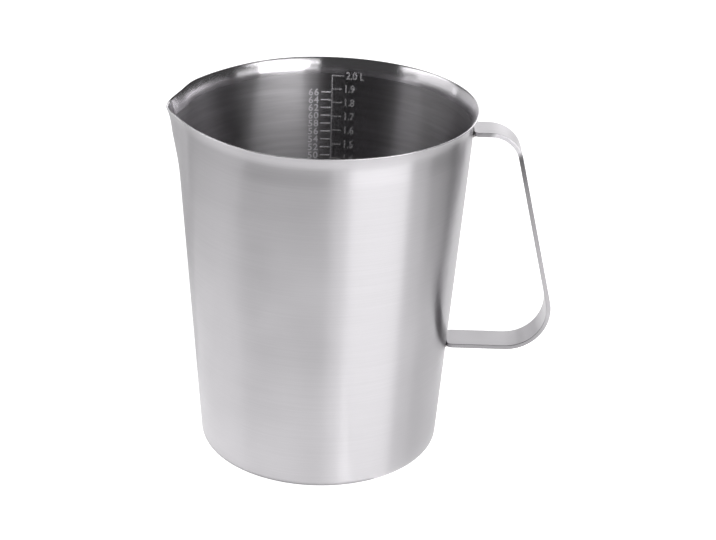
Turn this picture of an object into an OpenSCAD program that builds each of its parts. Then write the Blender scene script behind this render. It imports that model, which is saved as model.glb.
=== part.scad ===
// Two-litre steel measuring jug: a drawn cup with a pressed spout, a welded strap handle and fill scales.
// Millimetres. The origin is the centre of the base, +Z is up, the handle points to +X and the spout to -X.

/* [Cup] */
// Height of the rim above the surface that the jug stands on
jug_height = 171; // [150:1:190]
// Outside diameter of the wall's line where it meets the base plane
base_diameter = 116; // [100:1:124]
// Outside diameter of the wall's line carried up to the rim, without the lip
mouth_diameter = 139; // [130:1:155]
// Thickness of the steel sheet
sheet = 0.8; // [0.6:0.1:1.5]
// Outside radius of the corner between base and wall
base_corner_radius = 4; // [2.5:0.5:10]

/* [Lip] */
// Height of the flared lip
lip_height = 6.5; // [4:0.5:10]
// How far the lip flares out past the wall's line
lip_flare = 2.2; // [1:0.1:4]

/* [Spout] */
// How far the spout's tip is pushed out at the rim
spout_push = 3.6; // [2:0.1:6]
// Half of the spout's width at the rim, as an angle about the jug's axis
spout_half_angle = 18; // [14:1:26]
// Half of the spout's width at its foot, as an angle about the jug's axis
spout_foot_angle = 9; // [5:1:13]
// Depth of the spout below the rim
spout_depth = 36; // [24:1:50]
// How far the lip gives way to the spout, as an angle from the spout's middle
lip_fade_angle = 24; // [18:1:40]
// Part of the lip's flare that is left at the spout's tip
tip_flare_share = 0.16; // [0:0.02:1]
// How far the spout's tip lies below the rest of the rim
tip_drop = 2.5; // [0:0.1:4]
// How far from the spout's middle the rim dips, as an angle about the jug's axis
drop_angle = 28; // [18:1:45]
// How far the rim is drawn in on both flanks of the spout
flank_draw = 2.5; // [0:0.1:4]
// Where the drawn-in flanks end, as an angle from the spout's middle
flank_angle = 80; // [60:1:85]

/* [Handle] */
// Width of the strap
strap_width = 16; // [10:0.5:24]
// Thickness of the strap
strap_thickness = 2; // [1.2:0.1:3]
// Distance from the lip down to the upper leg
handle_below_lip = 2.5; // [1:0.5:20]
// Height of the handle over both legs
handle_height = 111; // [80:1:125]
// Distance from the wall to where the grip's outer line meets the height of the upper leg
upper_leg = 20.4; // [18:0.1:35]
// Distance from the wall to where the grip's outer line meets the height of the lower leg
lower_leg = 54.8; // [45:0.1:65]
// Outer radius of the upper bend
upper_bend_radius = 16; // [10:0.5:20]
// Outer radius of the lower bend
lower_bend_radius = 21; // [12:0.5:26]
// Radius of the strap's rounded end corners
strap_corner_radius = 3; // [1:0.5:5]
// Gap between the strap's ends and the wall, bridged by the welds
weld_gap = 0.2; // [0.1:0.05:0.4]
// Leg length of the weld beads
weld_leg = 2.2; // [1.5:0.1:3]

/* [Scales] */
// How far the scales lie towards the handle from the middle of the +Y side
scale_offset = 1.6; // [-10:0.1:10]
// Highest litre mark, in millilitres
litre_top = 2000; // [1000:100:2000]
// Lowest litre mark, in millilitres
litre_bottom = 100; // [100:100:500]
// Step between litre marks, in millilitres
litre_step = 100; // [50:50:500]
// Length of a litre mark
litre_mark_length = 5; // [3:0.5:8]
// Length of the mark at a whole litre
whole_litre_length = 6; // [3:0.5:10]
// Highest ounce mark, in imperial fluid ounces
ounce_top = 66; // [32:2:70]
// Lowest ounce mark, in imperial fluid ounces
ounce_bottom = 4; // [2:2:16]
// Step between ounce marks, in imperial fluid ounces
ounce_step = 2; // [1:1:8]
// Length of an ounce mark
ounce_mark_length = 5; // [3:0.2:8]
// Gap between the spine and the ounce marks
spine_gap = 0.2; // [0.1:0.1:1.5]
// Width of the marked lines
mark_width = 0.6; // [0.4:0.1:1.2]
// Thickness of the marked lines
mark_thickness = 0.15; // [0.1:0.05:0.3]
// Gap between the marks and the wall
mark_gap = 0.12; // [0.1:0.01:0.2]

/* [Hidden] */
$fn = 96;

steel = [0.78, 0.78, 0.79];
strap_steel = [0.84, 0.84, 0.85];
weld_steel = [0.60, 0.60, 0.61];
etched_mark = [0.90, 0.90, 0.90];

// The spout's direction about the jug's axis
spout_direction = 180;

function reversed(list) = [for (i = [len(list) - 1 : -1 : 0]) list[i]];

// Points along an arc, both ends included
function arc(centre, radius, from, to, steps) = [
    for (i = [0 : steps])
        let (angle = from + (to - from) * i / steps)
        centre + radius * [cos(angle), sin(angle)]
];

// The wall's lean from the vertical, and its radius at a height, on the surface inset from the outside
wall_slope = (mouth_diameter - base_diameter) / 2 / jug_height;
lean = atan(wall_slope);
function wall_radius(z, inset = 0) = base_diameter / 2 + wall_slope * z - inset / cos(lean);
function inner_radius(z) = wall_radius(z, sheet);

// The corner arc's centre, from which the arc touches the base plane and the wall's line
corner_centre = [base_diameter / 2 - base_corner_radius * (1 - sin(lean)) / cos(lean), base_corner_radius];
corner_steps = 4;

// The lip's arc starts on the wall's line and ends at the rim, lip_flare outside that line
lip_start = jug_height - lip_height;
lip_end_angle = 2 * atan(wall_slope + lip_flare / lip_height) - lean;
lip_radius = lip_height / (sin(lip_end_angle) - sin(lean));
lip_centre = [wall_radius(lip_start), lip_start] + lip_radius * [cos(lean), -sin(lean)];
lip_steps = 4;

// Heights at which the wall is divided, so that the spout can bend it
spout_start = jug_height - spout_depth;
spout_steps = 8;

function corner_line(inset) = arc(corner_centre, base_corner_radius - inset, -90, -lean, corner_steps);

function wall_line(inset) = [
    for (i = [0 : spout_steps - 1])
        let (z = spout_start + (lip_start - spout_start) * i / spout_steps)
        [wall_radius(z, inset), z]
];

// The rim is trimmed level, so the inside of the lip ends at the same height as the outside
function lip_line(inset) =
    let (radius = lip_radius + inset)
    let (end_angle = asin((jug_height - lip_centre[1]) / radius))
    arc(lip_centre, radius, 180 - lean, 180 - end_angle, lip_steps);

// One surface of the sheet, from the edge of the base up to the rim, as [radius, height]
function surface_line(inset) = concat(corner_line(inset), wall_line(inset), lip_line(inset));

// The cup's section without the spout, from the middle of the base round the sheet and back to the axis
module plain_section() {
    polygon(concat([[0, 0]], surface_line(0), reversed(surface_line(sheet)), [[0, sheet]]));
}

// A hump that is 1 at angle 0 and falls smoothly to 0 at its half width
function hump(angle, half_width) = abs(angle) < half_width ? (1 + cos(180 * angle / half_width)) / 2 : 0;

// Two hollows, one on each side of angle 0, deepest half-way to the limit and gone beyond it
function flanks(angle, limit) = abs(angle) < limit ? pow(sin(180 * angle / limit), 2) : 0;

// A straight rise from 0 to 1 with a rounded start
rise_blend = 0.12;
function eased(rise) = rise * rise * (1 + rise_blend) / (rise + rise_blend);

// Where a point of a surface line lies once the spout is pressed, at an angle from the spout's middle
function pressed(point, inset, angle) =
    let (rise = max(0, (point[1] - spout_start) / spout_depth))
    let (half_angle = spout_foot_angle + (spout_half_angle - spout_foot_angle) * rise)
    let (push = spout_push * hump(angle, half_angle) - flank_draw * flanks(angle, flank_angle))
    let (flare = point[1] > lip_start ? point[0] - wall_radius(point[1], inset) : 0)
    let (flare_lost = flare * (1 - tip_flare_share) * hump(angle, lip_fade_angle))
    let (drop = tip_drop * hump(angle, drop_angle))
    [point[0] + eased(rise) * push - flare_lost, point[1] - rise * drop];

// Angles from the spout's middle at which its half of the cup is divided, closer together at the spout
fine_angle = 30;
fine_step = 2.5;
coarse_step = 5;
spout_angles = [
    for (angle = [-90 : coarse_step : -fine_angle - coarse_step]) angle,
    for (angle = [-fine_angle : fine_step : fine_angle]) angle,
    for (angle = [fine_angle + coarse_step : coarse_step : 90]) angle
];

// The half of the cup that carries the spout, as one closed skin over its sections
module spout_half() {
    outside = surface_line(0);
    inside = reversed(surface_line(sheet));
    line = len(outside);
    ring = 2 * line;
    last = len(spout_angles) - 1;
    base_middle = [[0, 0, 0], [0, 0, sheet]];
    sections = [
        for (angle = spout_angles, i = [0 : ring - 1])
            let (p = i < line ? pressed(outside[i], 0, angle) : pressed(inside[i - line], sheet, angle))
            let (direction = spout_direction + angle)
            [p[0] * cos(direction), p[0] * sin(direction), p[1]]
    ];
    function at(section, i) = len(base_middle) + section * ring + i;
    sides = [
        for (s = [0 : last - 1], i = [0 : ring - 2])
            each [
                [at(s, i), at(s, i + 1), at(s + 1, i + 1)],
                [at(s, i), at(s + 1, i + 1), at(s + 1, i)]
            ]
    ];
    floors = [
        for (s = [0 : last - 1])
            each [[0, at(s, 0), at(s + 1, 0)], [1, at(s + 1, ring - 1), at(s, ring - 1)]]
    ];
    // A cut end of the sheet, across its thickness from each outside point to the inside one
    function end_face(s) = [
        [0, 1, at(s, ring - 1)],
        [0, at(s, ring - 1), at(s, 0)],
        for (i = [0 : line - 2])
            each [
                [at(s, i), at(s, ring - 1 - i), at(s, ring - 2 - i)],
                [at(s, i), at(s, ring - 2 - i), at(s, i + 1)]
            ]
    ];
    ends = concat(end_face(0), [for (face = end_face(last)) reversed(face)]);
    polyhedron(concat(base_middle, sections), concat(sides, floors, ends));
}

module jug_body() {
    color(steel) {
        rotate_extrude(angle = 180, start = -90)
            plain_section();
        spout_half();
    }
}

// The handle from the side as [x, z]: the faces of its legs, its grip's lean and the centres of its bends
handle_top = lip_start - handle_below_lip;
handle_bottom = handle_top - handle_height;
grip_top = wall_radius(handle_top) + upper_leg;
grip_bottom = wall_radius(handle_bottom) + lower_leg;
grip_lean = atan((grip_bottom - grip_top) / handle_height);
upper_bend_centre = [
    grip_top - upper_bend_radius * (1 - sin(grip_lean)) / cos(grip_lean),
    handle_top - upper_bend_radius
];
lower_bend_centre = [
    grip_bottom - lower_bend_radius * (1 + sin(grip_lean)) / cos(grip_lean),
    handle_bottom + lower_bend_radius
];
bend_steps = 14;
strap_corner_steps = 5;

// One face of the strap, from the upper leg round the grip to the lower leg, carried in to the jug's axis
function strap_line(inset) = concat(
    [[0, handle_top - inset]],
    arc(upper_bend_centre, upper_bend_radius - inset, 90, grip_lean, bend_steps),
    arc(lower_bend_centre, lower_bend_radius - inset, grip_lean, -90, bend_steps),
    [[0, handle_bottom + inset]]
);

// The strap from above, with rounded corners where a leg ends at a distance from the axis
module strap_plan(end) {
    side = strap_width / 2;
    flat = side - strap_corner_radius;
    inner = end + strap_corner_radius;
    polygon(concat(
        [[0, -flat]],
        arc([inner, -flat], strap_corner_radius, 180, 270, strap_corner_steps),
        [[grip_bottom, -side], [grip_bottom, side]],
        arc([inner, flat], strap_corner_radius, 90, 180, strap_corner_steps),
        [[0, flat]]
    ));
}

// The strap's side view cut to its plan, for the upper leg above mid-height and for the lower leg below it
module handle_strap() {
    middle = (handle_top + handle_bottom) / 2;
    color(strap_steel)
        difference() {
            intersection() {
                rotate([90, 0, 0])
                    linear_extrude(2 * strap_width, center = true)
                        polygon(concat(strap_line(0), reversed(strap_line(strap_thickness))));
                union() {
                    translate([0, 0, middle])
                        linear_extrude(handle_height)
                            strap_plan(wall_radius(handle_top));
                    translate([0, 0, middle - handle_height])
                        linear_extrude(handle_height)
                            strap_plan(wall_radius(handle_bottom));
                }
            }
            cylinder(h = jug_height, r1 = wall_radius(0) + weld_gap, r2 = wall_radius(jug_height) + weld_gap);
        }
}

// A fillet of weld in the angle between the wall and the underside of a leg at a height
module weld_bead(underside) {
    seam_gap = weld_gap / 2;
    top = underside - seam_gap;
    foot = top - weld_leg;
    root_radius = wall_radius(top) + seam_gap;
    foot_radius = wall_radius(foot) + seam_gap;
    half_length = strap_width / 2 - strap_corner_radius;
    half_angle = asin(half_length / root_radius);
    color(weld_steel)
        rotate_extrude(angle = 2 * half_angle, start = -half_angle)
            polygon([[root_radius, top], [foot_radius, foot], [root_radius + weld_leg, top]]);
}

module upper_weld_bead() {
    weld_bead(handle_top - strap_thickness);
}

module lower_weld_bead() {
    weld_bead(handle_bottom);
}

// The height to which a volume fills the jug: its inner cone's volume, less what the rounded corner takes up
mm3_per_ml = 1000;
ml_per_ounce = 28.4131;
corner_volume = 2 * PI * inner_radius(sheet) * (1 - PI / 4) * pow(base_corner_radius - sheet, 2);
function fill_height(ml) =
    let (cubed = pow(inner_radius(sheet), 3) + 3 * wall_slope * (ml * mm3_per_ml + corner_volume) / PI)
    (pow(cubed, 1 / 3) - inner_radius(0)) / wall_slope;

// The marks that lie below the lip, in millilitres
function marks(bottom, step, top, ml) = [
    for (value = [bottom : step : top])
        if (fill_height(value * ml) + mark_width / 2 < lip_start) value * ml
];
litre_marks = marks(litre_bottom, litre_step, litre_top, 1);
ounce_marks = marks(ounce_bottom, ounce_step, ounce_top, ml_per_ounce);
ml_per_litre = 1000;

// The thin layer on the inside of the wall in which the marks lie
module mark_layer() {
    outer = sheet + mark_gap;
    inner = outer + mark_thickness;
    difference() {
        cylinder(h = lip_start, r1 = wall_radius(0, outer), r2 = wall_radius(lip_start, outer));
        cylinder(h = lip_start, r1 = wall_radius(0, inner), r2 = wall_radius(lip_start, inner));
    }
}

// A block that takes one line out of the mark layer on the +Y side, between two distances from the middle of
// the spine and two heights
module mark_block(from, to, low, high) {
    translate([scale_offset + from, 0, low])
        cube([to - from, mouth_diameter / 2, high - low]);
}

module level_block(ml, from, to) {
    level = fill_height(ml);
    mark_block(from, to, level - mark_width / 2, level + mark_width / 2);
}

// The spine and the litre marks, which run from it towards the handle
module litre_scale() {
    low = fill_height(litre_marks[0]) - mark_width / 2;
    high = fill_height(litre_marks[len(litre_marks) - 1]) + mark_width / 2;
    color(etched_mark)
        intersection() {
            mark_layer();
            union() {
                mark_block(-mark_width / 2, mark_width / 2, low, high);
                for (ml = litre_marks)
                    level_block(ml, 0, ml % ml_per_litre == 0 ? whole_litre_length : litre_mark_length);
            }
        }
}

// The ounce marks, which run towards the spout and stay clear of the spine
module ounce_scale() {
    start = mark_width / 2 + spine_gap;
    color(etched_mark)
        intersection() {
            mark_layer();
            for (ml = ounce_marks)
                level_block(ml, -start - ounce_mark_length, -start);
        }
}

jug_body();
handle_strap();
upper_weld_bead();
lower_weld_bead();
litre_scale();
ounce_scale();
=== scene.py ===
"""Looks of the two-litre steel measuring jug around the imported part: pieces, materials, studio and camera.

Sizes are millimetres in the part's own frame: origin at the centre of the base, +Z up, handle at +X,
spout at -X and scales at +Y. They become metres where a mesh, a light or the camera is made.
"""

import math

import bpy
import numpy as np
from mathutils import Matrix, Vector


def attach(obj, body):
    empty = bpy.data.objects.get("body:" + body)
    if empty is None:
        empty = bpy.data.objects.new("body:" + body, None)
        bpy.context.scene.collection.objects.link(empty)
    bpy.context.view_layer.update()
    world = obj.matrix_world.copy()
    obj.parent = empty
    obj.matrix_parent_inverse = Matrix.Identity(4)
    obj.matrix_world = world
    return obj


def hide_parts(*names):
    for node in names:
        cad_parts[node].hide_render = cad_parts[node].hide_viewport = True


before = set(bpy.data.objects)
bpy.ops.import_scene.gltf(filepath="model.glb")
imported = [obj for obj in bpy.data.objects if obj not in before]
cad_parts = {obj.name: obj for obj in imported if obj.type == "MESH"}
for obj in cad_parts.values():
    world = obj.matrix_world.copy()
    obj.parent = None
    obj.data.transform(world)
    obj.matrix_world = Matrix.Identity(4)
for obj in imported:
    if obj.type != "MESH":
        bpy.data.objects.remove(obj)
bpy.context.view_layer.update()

MM = 0.001

# Sizes of the cup
JUG_HEIGHT = 171.0
BASE_RADIUS = 58.0
MOUTH_RADIUS = 69.5
SHEET = 0.8
BASE_CORNER_RADIUS = 4.0
LIP_HEIGHT = 6.5
LIP_FLARE = 2.2
RIM_ROUNDING = 0.3
NECK_DRAW = 0.35
NECK_HEIGHT = 9.0

# Sizes of the spout, with angles in degrees from its middle
SPOUT_DIRECTION = 180.0
SPOUT_DEPTH = 36.0  # from the rim down to the spout's foot
SPOUT_PUSH = 3.6  # outward, at the rim
SPOUT_HALF_ANGLE = 18.0
SPOUT_FOOT_ANGLE = 9.0
RISE_BLEND = 0.12  # how softly the spout starts at its foot
LIP_FADE_ANGLE = 24.0
TIP_FLARE_SHARE = 0.16  # what is left of the lip's flare in the middle
TIP_DROP = 2.5
DROP_ANGLE = 28.0
FLANK_DRAW = 2.5  # inward, of the wall on both sides
FLANK_ANGLE = 80.0

# Sizes of the handle and its welds
STRAP_WIDTH = 16.0
STRAP_THICKNESS = 2.0
STRAP_EDGE_RADIUS = 0.25
STRAP_CORNER_RADIUS = 3.0
HANDLE_TOP = 162.0
HANDLE_BOTTOM = 51.0
UPPER_LEG = 20.4
LOWER_LEG = 54.8
UPPER_BEND_RADIUS = 16.0
LOWER_BEND_RADIUS = 21.0
WELD_GAP = 0.2
WELD_LEG = 2.2
WELD_END_SHARE = 0.2  # what is left of a weld's leg at its ends
WELD_FACE_SHARE = 0.9  # how full a weld's face is, against a round one
RIPPLE_PITCH = 1.1
RIPPLE_DEPTH = 0.12

# Sizes of the scales
LITRE_LEVELS = range(100, 2001, 100)  # millilitres
OUNCE_LEVELS = range(4, 67, 2)  # imperial fluid ounces
ML_PER_OUNCE = 28.4131
MARK_WIDTH = 0.6
MARK_LIFT = 0.03  # off the wall
MARK_DEPTH = 0.05
LITRE_MARK_LENGTH = 5.0
WHOLE_LITRE_LENGTH = 6.0
OUNCE_MARK_LENGTH = 5.0
SPINE_GAP = 0.2
SCALE_OFFSET = 1.6
LITRE_NUMBER_GAP = 0.8
OUNCE_NUMBER_GAP = 1.0

# Numbers of the scales: weight is added to the font's strokes, and drop is how far they reach below a mark
LITRE_DIGITS = {"size": 5.3, "width": 0.88, "spacing": 1.0, "weight": 0.13, "drop": 1.55}
OUNCE_DIGITS = {"size": 4.9, "width": 1.02, "spacing": 1.12, "weight": 0.10, "drop": 1.79}

# Fineness of the meshes, mostly as steps along a form
BASE_RING_SHARES = (0.1, 0.3, 0.5, 0.7, 0.9)  # of the base's flat radius
CORNER_STEPS = 10
LOWER_WALL_STEPS = 13
SPOUT_WALL_STEPS = 27
LIP_STEPS = 13
RIM_STEPS = 12
SPOUT_SPAN = 40.0  # degrees on each side of the spout's middle that have finer sections
SPOUT_SECTIONS = 108
OTHER_SECTIONS = 160
STRAP_FACE_SHARES = (0.97, 0.5, 0, -0.5, -0.97)  # points across a flat face, close to its edges
STRAP_EDGE_STEPS = 5
STRAP_END_STEPS = 8
LEG_STEPS = 11
BEND_STEPS = 24
GRIP_STEPS = 17
WELD_STEPS = 60
WELD_FACE_STEPS = 8
FONT_STEPS = 3
SECTOR_STEPS = 95

SLOPE = (MOUTH_RADIUS - BASE_RADIUS) / JUG_HEIGHT
LEAN = math.atan(SLOPE)
LIP_START = JUG_HEIGHT - LIP_HEIGHT
SPOUT_START = JUG_HEIGHT - SPOUT_DEPTH


def wall_radius(z, inset=0.0):
    """Radius of the wall at a height, on the surface that lies inset from the outside."""
    return BASE_RADIUS + SLOPE * z - inset / math.cos(LEAN)


def neck(z):
    """How far the wall is drawn in at a height, in the shallow neck under the lip."""
    share = np.clip((np.asarray(z) - LIP_START) / NECK_HEIGHT, -1, 1)
    return NECK_DRAW * (1 + np.cos(math.pi * share)) / 2


def arc(centre, radius, start, end, steps):
    """Points along an arc between two angles in degrees, both ends included."""
    angles = np.radians(np.linspace(start, end, steps + 1))
    return np.array(centre) + radius * np.column_stack([np.cos(angles), np.sin(angles)])


# Pieces


def new_object(name, points, faces, material):
    """A mesh in the scene, from points in millimetres."""
    mesh = bpy.data.meshes.new(name)
    mesh.from_pydata((np.asarray(points, float) * MM).tolist(), [], faces)
    mesh.materials.append(material)
    thing = bpy.data.objects.new(name, mesh)
    bpy.context.scene.collection.objects.link(thing)
    return thing


def add_piece(name, points, faces, material, node):
    """Add a smooth piece that rides with the jug and stands for a CAD node."""
    piece = new_object(name, points, faces, material)
    piece.data.shade_smooth()
    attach(piece, "root")
    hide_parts(node)
    return piece


def paint(piece, finishes, zones):
    """Add finishes to a piece's own, which is zone 0, and give its faces in order their zone's finish."""
    for finish in finishes:
        piece.data.materials.append(finish)
    for face, zone in zip(piece.data.polygons, zones):
        face.material_index = int(zone)


def bar_faces(rings, count):
    """Faces of a bar: quads between neighbouring rings of count points each, then a cap on each end."""
    faces = []
    for a in range(0, (rings - 1) * count, count):
        b = a + count
        for i in range(count):
            j = (i + 1) % count
            faces.append((a + i, a + j, b + j, b + i))
    last = (rings - 1) * count
    return [*faces, tuple(reversed(range(count))), tuple(range(last, last + count))]


# Cup

LIP_END_ANGLE = 2 * math.atan(SLOPE + LIP_FLARE / LIP_HEIGHT) - LEAN
LIP_RADIUS = LIP_HEIGHT / (math.sin(LIP_END_ANGLE) - math.sin(LEAN))
LIP_CENTRE = (
    wall_radius(LIP_START) + LIP_RADIUS * math.cos(LEAN),
    LIP_START - LIP_RADIUS * math.sin(LEAN),
)
CORNER_CENTRE = (
    BASE_RADIUS - BASE_CORNER_RADIUS * (1 - math.sin(LEAN)) / math.cos(LEAN),
    BASE_CORNER_RADIUS,
)


def lip_radius_at(z, inset):
    """Radius of the flared lip at a height, on the surface that lies inset from the outside."""
    radius = LIP_RADIUS + inset
    return LIP_CENTRE[0] - np.sqrt(radius**2 - (z - LIP_CENTRE[1]) ** 2)


def side_line(inset):
    """One surface of the sheet as [radius, height, inset], from the base up to the rim's rounding."""
    flat = np.array([[share * CORNER_CENTRE[0], inset] for share in BASE_RING_SHARES])
    corner = arc(CORNER_CENTRE, BASE_CORNER_RADIUS - inset, -90, -math.degrees(LEAN), CORNER_STEPS)
    low = np.linspace(corner[-1][1], SPOUT_START, LOWER_WALL_STEPS + 1)[1:-1]
    high = np.linspace(SPOUT_START, LIP_START, SPOUT_WALL_STEPS + 1)[:-1]
    wall = np.array([[wall_radius(z, inset), z] for z in [*low, *high]])
    start = LIP_CENTRE[1] + (LIP_RADIUS + inset) * math.sin(LEAN)
    heights = np.linspace(start, JUG_HEIGHT - RIM_ROUNDING, LIP_STEPS + 1)
    lip = np.column_stack([lip_radius_at(heights, inset), heights])
    line = np.vstack([flat, corner, wall, lip])
    return np.column_stack([line, np.full(len(line), inset)])


def rim_line():
    """The trimmed edge of the sheet as [radius, height, inset], rounded towards both faces."""
    insets = SHEET * (1 - np.cos(np.linspace(0, math.pi, RIM_STEPS + 1)[1:-1])) / 2
    depth = np.clip(RIM_ROUNDING - np.minimum(insets, SHEET - insets), 0, None)
    heights = JUG_HEIGHT - RIM_ROUNDING + np.sqrt(RIM_ROUNDING**2 - depth**2)
    return np.column_stack([lip_radius_at(heights, insets), heights, insets])


def hump(angle, half_width):
    """1 at angle 0, falling smoothly to 0 at the half width."""
    return np.where(np.abs(angle) < half_width, (1 + np.cos(np.pi * angle / half_width)) / 2, 0)


def pressed(line, angle):
    """Where the points of a section lie once the spout is pressed, at an angle from the spout's middle."""
    radius, z, inset = line.T
    rise = np.clip((z - SPOUT_START) / SPOUT_DEPTH, 0, None)
    eased = rise**2 * (1 + RISE_BLEND) / (rise + RISE_BLEND)
    half_angle = SPOUT_FOOT_ANGLE + (SPOUT_HALF_ANGLE - SPOUT_FOOT_ANGLE) * rise
    flanks = math.sin(math.pi * angle / FLANK_ANGLE) ** 2 if abs(angle) < FLANK_ANGLE else 0.0
    push = SPOUT_PUSH * hump(angle, half_angle) - FLANK_DRAW * flanks
    flare = np.where(z > LIP_START, radius - wall_radius(z, inset), 0)
    flare_lost = flare * (1 - TIP_FLARE_SHARE) * hump(angle, LIP_FADE_ANGLE)
    drop = TIP_DROP * hump(angle, DROP_ANGLE)
    return radius - neck(z) + eased * push - flare_lost, z - rise * drop


def add_cup(outer, inner, lip):
    """The cup as one closed sheet: its section goes round the axis and closes in the base's middle."""
    outside, rim, inside = side_line(0.0), rim_line(), side_line(SHEET)
    line = np.vstack([outside, rim, inside[::-1]])
    near = np.linspace(-SPOUT_SPAN, SPOUT_SPAN, SPOUT_SECTIONS, endpoint=False)
    far = np.linspace(SPOUT_SPAN, 360 - SPOUT_SPAN, OTHER_SECTIONS, endpoint=False)
    angles = np.concatenate([near, np.where(far > 180, far - 360, far)])
    points = []
    for angle in angles:
        radius, z = pressed(line, angle)
        turn = math.radians(SPOUT_DIRECTION + angle)
        points.append(np.column_stack([radius * math.cos(turn), radius * math.sin(turn), z]))
    points = np.vstack([*points, [[0, 0, 0], [0, 0, SHEET]]])
    under, floor = len(points) - 2, len(points) - 1

    count, sections = len(line), len(angles)
    faces = []
    for section in range(sections):
        a, b = section * count, (section + 1) % sections * count
        faces += [(a + i, b + i, b + i + 1, a + i + 1) for i in range(count - 1)]
        faces += [(under, b, a), (floor, a + count - 1, b + count - 1)]
    cup = add_piece("jug_cup", points, faces, outer, "jug_body")

    lip_faces = len(rim) + int((inside[:, 1] > LIP_START).sum())
    inner_faces = count - 1 - len(outside) - lip_faces
    zones = [0] * len(outside) + [2] * lip_faces + [1] * inner_faces + [0, 1]
    paint(cup, (inner, lip), zones * sections)


# Handle


def strap_profile():
    """The strap's section as [across, outward]: a flat bar with rounded edges, counter-clockwise."""
    side, half = STRAP_WIDTH / 2 - STRAP_EDGE_RADIUS, STRAP_THICKNESS / 2
    top = np.array([[share * side, half] for share in STRAP_FACE_SHARES])
    rise = half - STRAP_EDGE_RADIUS
    corners = [
        arc(centre, STRAP_EDGE_RADIUS, 90 * quarter, 90 * quarter + 90, STRAP_EDGE_STEPS)
        for quarter, centre in enumerate([(side, rise), (-side, rise), (-side, -rise), (side, -rise)])
    ]
    return np.vstack([corners[0], top, corners[1], corners[2], -top, corners[3]])


def strap_zones(profile):
    """Each side's zone in the section: 0 on the outer face, 1 on the edges, 2 on the inner face."""
    across, outward = ((profile + np.roll(profile, -1, axis=0)) / 2).T
    on_edge = np.abs(across) > STRAP_WIDTH / 2 - STRAP_EDGE_RADIUS
    return np.where(on_edge, 1, np.where(outward > 0, 0, 2))


def strap_path():
    """The strap's middle line in the XZ plane and its outward direction, from upper to lower weld."""
    grip_top = wall_radius(HANDLE_TOP) + UPPER_LEG
    grip_bottom = wall_radius(HANDLE_BOTTOM) + LOWER_LEG
    lean = math.atan((grip_bottom - grip_top) / (HANDLE_TOP - HANDLE_BOTTOM))
    upper = (
        grip_top - UPPER_BEND_RADIUS * (1 - math.sin(lean)) / math.cos(lean),
        HANDLE_TOP - UPPER_BEND_RADIUS,
    )
    lower = (
        grip_bottom - LOWER_BEND_RADIUS * (1 + math.sin(lean)) / math.cos(lean),
        HANDLE_BOTTOM + LOWER_BEND_RADIUS,
    )
    half = STRAP_THICKNESS / 2
    bends = [
        (upper, UPPER_BEND_RADIUS - half, 90, math.degrees(lean)),
        (lower, LOWER_BEND_RADIUS - half, math.degrees(lean), -90),
    ]
    middle, outward = [], []
    for centre, radius, start, end in bends:
        middle.append(arc(centre, radius, start, end, BEND_STEPS))
        outward.append(arc((0, 0), 1, start, end, BEND_STEPS))
    grip = np.linspace(middle[0][-1], middle[1][0], GRIP_STEPS + 1)[1:-1]
    middle.insert(1, grip)
    outward.insert(1, np.tile(outward[0][-1], (len(grip), 1)))
    return np.vstack(middle), np.vstack(outward)


def leg_rings(profile, bend, up):
    """Rings of a straight leg, from its rounded end on the wall out to its bend. up is 1 for the upper leg.

    The end follows the wall's curve, which fades out over two corner radii.
    """
    side, radius = STRAP_WIDTH / 2, STRAP_CORNER_RADIUS
    height = bend[1]
    middle_seat = wall_radius(height) + WELD_GAP
    rounding = radius * (1 - np.cos(np.linspace(0, math.pi / 2, STRAP_END_STEPS + 1)))
    straight = np.linspace(radius, bend[0] - middle_seat, LEG_STEPS + 1)[1:-1]
    rings = []
    for distance in [*rounding, *straight]:
        inset = radius - min(distance, radius)
        half_width = side - radius + math.sqrt(radius**2 - inset**2)
        across = profile[:, 0] * half_width / side
        z = height + up * profile[:, 1]
        seat = np.sqrt((wall_radius(z) + WELD_GAP) ** 2 - across**2)
        x = seat + distance + (middle_seat - seat) * min(1, distance / (2 * radius))
        rings.append(np.column_stack([x, across, z]))
    return rings


def add_strap(face, edge, back):
    """The strap, from its end at the upper weld round both bends to its end at the lower one."""
    profile = strap_profile()
    middle, outward = strap_path()
    rings = leg_rings(profile, middle[0], 1)
    for point, direction in zip(middle, outward):
        x = point[0] + direction[0] * profile[:, 1]
        z = point[1] + direction[1] * profile[:, 1]
        rings.append(np.column_stack([x, profile[:, 0], z]))
    rings += leg_rings(profile, middle[-1], -1)[::-1]
    faces = bar_faces(len(rings), len(profile))
    strap = add_piece("handle_band", np.vstack(rings), faces, face, "handle_strap")
    paint(strap, (edge, back), np.tile(strap_zones(profile), len(rings) - 1))


def add_weld(name, node, underside, material):
    """A fillet with ripples in the angle between the wall and the underside of a leg."""
    gap = WELD_GAP / 2
    top = underside - gap
    root = wall_radius(top) + gap
    half_length = STRAP_WIDTH / 2 - STRAP_CORNER_RADIUS
    rings = []
    for y in np.linspace(-half_length, half_length, WELD_STEPS + 1):
        fade = math.sqrt(max(WELD_END_SHARE**2, 1 - (y / half_length) ** 4))
        ripple = RIPPLE_DEPTH * (1 + math.cos(2 * math.pi * y / RIPPLE_PITCH)) / 2
        leg = (WELD_LEG - ripple) * fade
        heel = np.array([math.sqrt(root**2 - y**2), top])
        face = arc(heel, leg, -90, 0, WELD_FACE_STEPS)
        face[1:-1] = heel + WELD_FACE_SHARE * (face[1:-1] - heel)
        face[0, 0] -= SLOPE * leg
        x, z = np.vstack([heel, face]).T
        rings.append(np.column_stack([x, np.full(len(x), y), z]))
    faces = bar_faces(len(rings), len(rings[0]))
    add_piece(name, np.vstack(rings), faces, material, node)


# Scales


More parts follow.
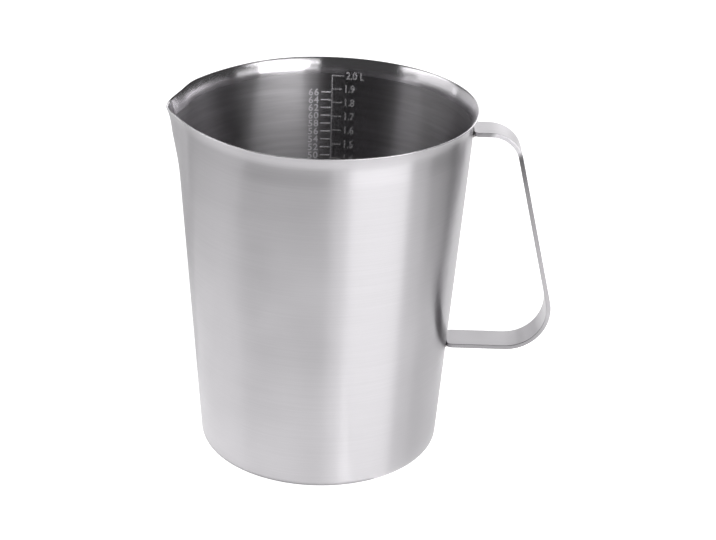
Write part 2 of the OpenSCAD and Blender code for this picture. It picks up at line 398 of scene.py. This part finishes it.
def fill_height(ml):
    """Height to which a volume fills the jug: its inner cone, less what the rounded corner takes up."""
    bottom = wall_radius(SHEET, SHEET)
    corner = 2 * math.pi * bottom * (1 - math.pi / 4) * (BASE_CORNER_RADIUS - SHEET) ** 2
    cubed = bottom**3 + 3 * SLOPE * (ml * 1000 + corner) / math.pi
    return (cubed ** (1 / 3) - wall_radius(0, SHEET)) / SLOPE


def on_wall(flat):
    """Lay points given as [distance towards the handle, height, lift] on the inside of the +Y wall."""
    along, z, lift = np.asarray(flat, float).T
    radius = wall_radius(z, SHEET) - neck(z) - MARK_LIFT - lift
    turn = math.pi / 2 - (along + SCALE_OFFSET) / radius
    return np.column_stack([radius * np.cos(turn), radius * np.sin(turn), z])


class Marks:
    """Lines and numbers of one scale, gathered into one mesh."""

    def __init__(self):
        self.points, self.faces = [], []

    def add(self, points, faces):
        """Lay a flat shape on the wall."""
        first = len(self.points)
        self.points.extend(on_wall(points))
        self.faces.extend(tuple(first + i for i in face) for face in faces)

    def line(self, start, end, low, high):
        """Add a bar between two distances along the wall and two heights, in pieces of about 1 mm."""
        columns = np.linspace(start, end, 2 + int(end - start))
        section = ((low, 0), (high, 0), (high, MARK_DEPTH), (low, MARK_DEPTH))
        points = [(along, z, lift) for along in columns for z, lift in section]
        self.add(points, bar_faces(len(columns), len(section)))

    def number(self, text, along, level, style, align="LEFT"):
        """Add a number in Blender's own font, with its left or right end at a distance along the wall."""
        curve = bpy.data.curves.new("number", "FONT")
        curve.body = text
        curve.size = style["size"]
        curve.space_character = style["spacing"]
        curve.align_x = align
        curve.extrude = MARK_DEPTH / 2
        curve.offset = style["weight"]
        curve.resolution_u = FONT_STEPS
        holder = bpy.data.objects.new("number", curve)
        bpy.context.scene.collection.objects.link(holder)
        bpy.context.view_layer.update()
        shape = holder.to_mesh()
        base, middle = level - style["drop"], MARK_DEPTH / 2
        corners = [v.co for v in shape.vertices]
        points = [(along + c.x * style["width"], base + c.y, middle + c.z) for c in corners]
        self.add(points, [tuple(p.vertices) for p in shape.polygons])
        holder.to_mesh_clear()
        bpy.data.objects.remove(holder)
        bpy.data.curves.remove(curve)


def add_scales(litre_mark, ounce_mark):
    """The litre scale with its spine, and the ounce scale on the spine's other side, at true volumes."""
    litres, ounces = Marks(), Marks()
    half = MARK_WIDTH / 2
    levels = {ml: fill_height(ml) for ml in LITRE_LEVELS}
    litres.line(-half, half, min(levels.values()) - half, max(levels.values()) + half)
    for ml, level in levels.items():
        whole = ml % 1000 == 0
        length = WHOLE_LITRE_LENGTH if whole else LITRE_MARK_LENGTH
        litres.line(half, length, level - half, level + half)
        text = f"{ml / 1000:.1f}" + (" L" if whole else "")
        litres.number(text, length + LITRE_NUMBER_GAP, level, LITRE_DIGITS)
    start = -half - SPINE_GAP
    end = start - OUNCE_MARK_LENGTH
    for value in OUNCE_LEVELS:
        level = fill_height(value * ML_PER_OUNCE)
        ounces.line(end, start, level - half, level + half)
        ounces.number(str(value), end - OUNCE_NUMBER_GAP, level, OUNCE_DIGITS, "RIGHT")
    scales = (
        ("litre_marks", litres, litre_mark, "litre_scale"),
        ("ounce_marks", ounces, ounce_mark, "ounce_scale"),
    )
    for name, marks, material, node in scales:
        piece = add_piece(name, marks.points, marks.faces, material, node)
        piece.data.shade_flat()


# Materials

STEEL_TINT = (1.0, 0.977, 1.012)
NOISE_RANGE = (0.3, 0.7)  # where most of a noise's values lie

# Scales of the finishes' noise, in cells per metre along x, y and z
FINE_LINES = (25, 25, 2600)
STREAKS = (30, 30, 450)
CUP_CLOUDS = (30, 30, 22)
STRAP_LINES = (120, 2200, 120)
STRAP_CLOUDS = (60, 60, 60)
EDGE_GRAIN = (900, 900, 900)
WELD_GRAIN = (700, 700, 700)
ETCH_GRAIN = (1500, 1500, 1500)

# Depths of the finishes' relief
CUP_RELIEF = 0.001
STRAP_RELIEF = 0.002
EDGE_RELIEF = 0.01
WELD_RELIEF = 0.04

# Greys and roughness of the handle, the welds and the marks
STRAP_GREY = (0.76, 0.81)
STRAP_ROUGHNESS = (0.32, 0.37)
EDGE_ROUGHNESS = (0.36, 0.42)
WELD_TINTS = ((0.42, 0.38, 0.33), (0.56, 0.56, 0.58))
WELD_ROUGHNESS = (0.38, 0.55)
ETCH_ROUGHNESS = (0.6, 0.8)

# Painted light and shade on the strap: greys of its edges and of its inner face, each at a height
PAINTED_EDGE_SHADES = (
    (52, 0.32), (60, 0.36), (70, 0.49), (98, 0.46),
    (118, 0.38), (132, 0.33), (149, 0.155), (157, 0.36),
)
PAINTED_BACK_SHADES = (
    (53, 0.67), (56, 0.92), (60, 0.86), (66, 0.53),
    (82, 0.25), (148, 0.25), (160, 0.7),
)

# A painted highlight on the strap's edge at the upper bend: full within the first distance of its middle,
# gone at the second
HIGHLIGHT_MIDDLE = (85.5, -STRAP_WIDTH / 2, 158.5)
HIGHLIGHT_REACH = (7.0, 9.5)
HIGHLIGHT_GREY = 0.75


def steel(value):
    """A grey with the faint warm violet cast of the steel."""
    return tuple(value * share for share in STEEL_TINT)


def new_material(name, **values):
    """A node material whose shader has these constants on its own sockets."""
    material = bpy.data.materials.new(name)
    material.use_nodes = True
    shader = material.node_tree.nodes["Principled BSDF"]
    for socket, value in values.items():
        shader.inputs[socket.replace("_", " ").title()].default_value = value
    return material, material.node_tree, shader


def noise(tree, scale, detail):
    """Noise over the part's own coordinates, stretched by a scale per axis. Returns the value's socket."""
    place = tree.nodes.new("ShaderNodeTexCoord")
    stretch = tree.nodes.new("ShaderNodeMapping")
    stretch.inputs["Scale"].default_value = scale
    texture = tree.nodes.new("ShaderNodeTexNoise")
    texture.inputs["Scale"].default_value = 1.0
    texture.inputs["Detail"].default_value = detail
    tree.links.new(place.outputs["Object"], stretch.inputs["Vector"])
    tree.links.new(stretch.outputs["Vector"], texture.inputs["Vector"])
    return texture.outputs["Fac"]


def map_range(tree, value, source, target):
    """A value carried from one range to another."""
    node = tree.nodes.new("ShaderNodeMapRange")
    node.inputs["From Min"].default_value, node.inputs["From Max"].default_value = source
    node.inputs["To Min"].default_value, node.inputs["To Max"].default_value = target
    tree.links.new(value, node.inputs["Value"])
    return node.outputs["Result"]


def colour_ramp(tree, value, stops):
    """A colour that runs through stops, each a position and a colour, as a value goes from 0 to 1."""
    node = tree.nodes.new("ShaderNodeValToRGB")
    elements = node.color_ramp.elements
    for _ in stops[2:]:
        elements.new(1.0)
    for element, (position, colour) in zip(elements, stops):
        element.position = position
        element.color = (*colour, 1)
    tree.links.new(value, node.inputs["Fac"])
    return node.outputs["Color"]


def tint(tree, value, colours):
    """A colour between two, driven by a noise."""
    return colour_ramp(tree, value, list(zip(NOISE_RANGE, colours)))


def shade_by_height(tree, shades):
    """Steel in painted light and shade: as light as the shades say at their heights on the part."""
    place = tree.nodes.new("ShaderNodeTexCoord")
    split = tree.nodes.new("ShaderNodeSeparateXYZ")
    tree.links.new(place.outputs["Object"], split.inputs["Vector"])
    rise = map_range(tree, split.outputs["Z"], (0, JUG_HEIGHT * MM), (0, 1))
    return colour_ramp(tree, rise, [(height / JUG_HEIGHT, steel(value)) for height, value in shades])


def bump(tree, shader, value, depth):
    """Relief of a value, to a depth in millimetres."""
    node = tree.nodes.new("ShaderNodeBump")
    node.inputs["Strength"].default_value = 1.0
    node.inputs["Distance"].default_value = depth * MM
    tree.links.new(value, node.inputs["Height"])
    tree.links.new(node.outputs["Normal"], shader.inputs["Normal"])


def cup_steel(name, grain, grey, roughness):
    """Satin steel polished round the jug: level lines that stretch reflections up and down the wall."""
    material, tree, shader = new_material(name, metallic=1.0, anisotropic=1.0, anisotropic_rotation=0.25)
    lines = noise(tree, grain, detail=3)
    clouds = noise(tree, CUP_CLOUDS, detail=2)
    tangent = tree.nodes.new("ShaderNodeTangent")
    tangent.direction_type = "RADIAL"
    tangent.axis = "Z"
    tree.links.new(tangent.outputs["Tangent"], shader.inputs["Tangent"])
    tree.links.new(tint(tree, lines, map(steel, grey)), shader.inputs["Base Color"])
    tree.links.new(map_range(tree, clouds, NOISE_RANGE, roughness), shader.inputs["Roughness"])
    bump(tree, shader, lines, CUP_RELIEF)
    return material


def strap_steel():
    """The strap's outer face: brighter steel, polished along the strap."""
    material, tree, shader = new_material("strap_steel", metallic=1.0)
    lines = noise(tree, STRAP_LINES, detail=3)
    clouds = noise(tree, STRAP_CLOUDS, detail=2)
    tree.links.new(tint(tree, lines, map(steel, STRAP_GREY)), shader.inputs["Base Color"])
    tree.links.new(map_range(tree, clouds, NOISE_RANGE, STRAP_ROUGHNESS), shader.inputs["Roughness"])
    bump(tree, shader, lines, STRAP_RELIEF)
    return material


def strap_back():
    """The strap's inner face, in painted light and shade: light on the lower leg, painted shade up the grip,
    lighter again under the upper leg.
    """
    material, tree, shader = new_material("strap_back", metallic=1.0)
    clouds = noise(tree, STRAP_CLOUDS, detail=2)
    tree.links.new(shade_by_height(tree, PAINTED_BACK_SHADES), shader.inputs["Base Color"])
    tree.links.new(map_range(tree, clouds, NOISE_RANGE, STRAP_ROUGHNESS), shader.inputs["Roughness"])
    return material


def strap_edge():
    """The strap's sheared edges, in painted light and shade: painted shade darkest near the top of the grip,
    and a painted highlight on the upper bend.
    """
    material, tree, shader = new_material("strap_edge", metallic=1.0)
    place = tree.nodes.new("ShaderNodeTexCoord")
    distance = tree.nodes.new("ShaderNodeVectorMath")
    distance.operation = "DISTANCE"
    distance.inputs[1].default_value = [v * MM for v in HIGHLIGHT_MIDDLE]
    tree.links.new(place.outputs["Object"], distance.inputs[0])
    reach = [v * MM for v in HIGHLIGHT_REACH]
    highlight_falloff = map_range(tree, distance.outputs["Value"], reach, (0, 1))
    blend = tree.nodes.new("ShaderNodeMix")
    blend.data_type = "RGBA"
    # The node has a set of sockets for each type of data, and these are the ones for colours
    factor, bright, painted_shades, result = blend.inputs[0], blend.inputs[6], blend.inputs[7], blend.outputs[2]
    bright.default_value = (*steel(HIGHLIGHT_GREY), 1)
    tree.links.new(highlight_falloff, factor)
    tree.links.new(shade_by_height(tree, PAINTED_EDGE_SHADES), painted_shades)
    tree.links.new(result, shader.inputs["Base Color"])
    grain = noise(tree, EDGE_GRAIN, detail=3)
    tree.links.new(map_range(tree, grain, NOISE_RANGE, EDGE_ROUGHNESS), shader.inputs["Roughness"])
    bump(tree, shader, grain, EDGE_RELIEF)
    return material


def weld_steel():
    """Duller metal with a faint heat tint."""
    material, tree, shader = new_material("weld_steel", metallic=1.0)
    grain = noise(tree, WELD_GRAIN, detail=4)
    tree.links.new(tint(tree, grain, WELD_TINTS), shader.inputs["Base Color"])
    tree.links.new(map_range(tree, grain, NOISE_RANGE, WELD_ROUGHNESS), shader.inputs["Roughness"])
    bump(tree, shader, grain, WELD_RELIEF)
    return material


def etched_mark(name, grey, metallic):
    """Frosted metal: rough and without a mirror image."""
    material, tree, shader = new_material(name, metallic=metallic)
    grain = noise(tree, ETCH_GRAIN, detail=3)
    tree.links.new(tint(tree, grain, map(steel, grey)), shader.inputs["Base Color"])
    tree.links.new(map_range(tree, grain, NOISE_RANGE, ETCH_ROUGHNESS), shader.inputs["Roughness"])
    return material


# Studio, with azimuths in degrees from the camera's side of the jug towards the handle

WORLD_GREY = 0.055
PAPER_GREY = 0.3
PAPER_ROUGHNESS = 0.9
FLOOR_REACH = 4000.0
FLOOR_GLOW = 1.15
FLAG_LIFT = 0.2
SOFTBOX_DISTANCE = 900.0

# Sectors that shape the bands on the steel: name, inner and outer radius, azimuths, glow
FLAGS = (
    ("left_flag", 340, FLOOR_REACH, (-120, 20), 0.41),
    ("near_glow", 62, 230, (-120, 20), 1.26),
    ("front_flag", 320, FLOOR_REACH, (20, 80), 0.32),
    ("right_flag", 320, FLOOR_REACH, (80, 120), 0.24),
    ("rear_flag", 230, FLOOR_REACH, (180, 240), 0.64),
    ("handle_flag", 320, FLOOR_REACH, (120, 180), 1.0),
    # The last two sectors are painted shadow: dimmer paper near the jug and a dark ring under its base's
    # corner stand in for the jug's shadow on the floor, seen only in reflections
    ("near_shade", 62, 145, (20, 240), 1.0),
    ("contact_shadow_flag", 53, 59, (-150, 30), 0.4),
)

# Panels of soft light: name, azimuths, elevations, radiance
SOFTBOXES = (
    ("key_softbox", (7, 85), (2, 22), 1.35),
    ("key_upper", (15, 70), (22, 42), 1.75),
    ("key_core", (20, 66), (2, 22), 3.4),
    ("key_top", (7, 86), (42, 53), 2.4),
    ("side_softbox", (-124, -66), (2, 20), 0.75),
    ("side_upper", (-124, -80), (20, 42), 0.75),
    ("side_top", (-140, -70), (42, 52), 2.5),
    ("rear_softbox", (148, 188), (2, 30), 1.2),
    ("rear_fill", (188, 242), (2, 27), 0.5),
)


def aim(thing, place, target, roll=0.0):
    """Put a light or camera at a place, looking at a target. roll tips its right side up, in degrees."""
    back = (Vector(place) - Vector(target)).normalized()
    right = Vector((0, 0, 1)).cross(back).normalized()
    level = Matrix((right, back.cross(right), back)).transposed()
    turn = level @ Matrix.Rotation(math.radians(roll), 3, "Z")
    thing.matrix_world = Matrix.Translation(Vector(place) * MM) @ turn.to_4x4()


def add_softbox(name, span, rise, radiance):
    """An upright panel of soft light over a span of azimuths and of elevations, as seen from the jug."""
    turn = math.radians(sum(span) / 2)
    low, high = (SOFTBOX_DISTANCE * math.tan(math.radians(angle)) for angle in rise)
    light = bpy.data.lights.new(name, "AREA")
    light.shape = "RECTANGLE"
    light.size = 2 * SOFTBOX_DISTANCE * math.tan(math.radians(span[1] - span[0]) / 2) * MM
    light.size_y = (high - low) * MM
    light.energy = radiance * math.pi * light.size * light.size_y
    lamp = bpy.data.objects.new(name, light)
    lamp.visible_camera = False
    bpy.context.scene.collection.objects.link(lamp)
    middle = Vector((0, 0, JUG_HEIGHT / 2 + (low + high) / 2))
    aim(lamp, middle + SOFTBOX_DISTANCE * Vector((math.sin(turn), -math.cos(turn), 0)), middle)


def stage_paper(name, glow):
    """Pale matt paper with a glow of its own, like a sweep that is lit through."""
    material, _, _ = new_material(
        name,
        base_color=(PAPER_GREY, PAPER_GREY, PAPER_GREY, 1),
        roughness=PAPER_ROUGHNESS,
        emission_color=(1, 1, 1, 1),
        emission_strength=glow,
    )
    return material


def add_sector(name, inner, outer, span, height, glow):
    """A level sector of a ring of glowing paper round the jug, over a span of azimuths."""
    turns = np.radians(np.linspace(*span, SECTOR_STEPS + 1) - 90)
    points = [(r * math.cos(t), r * math.sin(t), height) for r in (inner, outer) for t in turns]
    count = len(turns)
    faces = [(i, count + i, count + i + 1, i + 1) for i in range(SECTOR_STEPS)]
    sector = new_object(name, points, faces, stage_paper(f"{name}_paper", glow))
    return sector


def add_flag(name, inner, outer, span, glow):
    """A sector just above the floor, darker or brighter than the floor, that only reflections show."""
    flag = add_sector(name, inner, outer, span, FLAG_LIFT, glow)
    flag.visible_camera = False
    flag.visible_diffuse = False
    flag.visible_shadow = False


def add_studio():
    """The dim room, the floor, and the flags and panels that light the jug."""
    scene = bpy.context.scene
    scene.view_settings.view_transform = "Standard"
    world = bpy.data.worlds.new("studio")
    world.use_nodes = True
    background = world.node_tree.nodes["Background"]
    background.inputs["Color"].default_value = (WORLD_GREY, WORLD_GREY, WORLD_GREY, 1)
    scene.world = world
    add_sector("studio_floor", 0.0, FLOOR_REACH, (-180, 180), 0.0, FLOOR_GLOW)
    for flag in FLAGS:
        add_flag(*flag)
    for softbox in SOFTBOXES:
        add_softbox(*softbox)


# Camera, fitted to the photograph

CAMERA_PLACE = (17.4, -746.0, 431.5)
CAMERA_TARGET = (17.4, 0.0, 87.33)
CAMERA_ROLL = 1.79
CAMERA_LENS = 85.85
CAMERA_SENSOR = 36.0


def add_camera():
    """The scene's camera, with everything in focus."""
    data = bpy.data.cameras.new("camera")
    data.lens = CAMERA_LENS
    data.sensor_fit = "HORIZONTAL"
    data.sensor_width = CAMERA_SENSOR
    camera = bpy.data.objects.new("camera", data)
    bpy.context.scene.collection.objects.link(camera)
    aim(camera, CAMERA_PLACE, CAMERA_TARGET, CAMERA_ROLL)
    bpy.context.scene.camera = camera


# The whole scene. No roughness crosses about 0.27, where the renderer's denoiser would draw contours

add_cup(
    outer=cup_steel("outer_steel", FINE_LINES, grey=(0.55, 0.58), roughness=(0.32, 0.36)),
    inner=cup_steel("inner_steel", STREAKS, grey=(0.475, 0.575), roughness=(0.32, 0.35)),
    # The lip is lighter steel than the rest of the cup: partly a polished rim, partly a painted highlight
    # that makes its reflections burn out white
    lip=cup_steel("lip_steel", FINE_LINES, grey=(0.86, 0.9), roughness=(0.20, 0.23)),
)
add_strap(strap_steel(), strap_edge(), strap_back())
weld = weld_steel()
add_weld("upper_weld", "upper_weld_bead", HANDLE_TOP - STRAP_THICKNESS, weld)
add_weld("lower_weld", "lower_weld_bead", HANDLE_BOTTOM, weld)
add_scales(
    litre_mark=etched_mark("litre_etch", grey=(0.44, 0.54), metallic=0.2),
    # The ounce marks are the same etch as the litre marks, painted lighter and more metallic: painted light
    # for the bright band they lie in
    ounce_mark=etched_mark("ounce_etch_lit", grey=(0.9, 0.98), metallic=0.45),
)
add_studio()
add_camera()
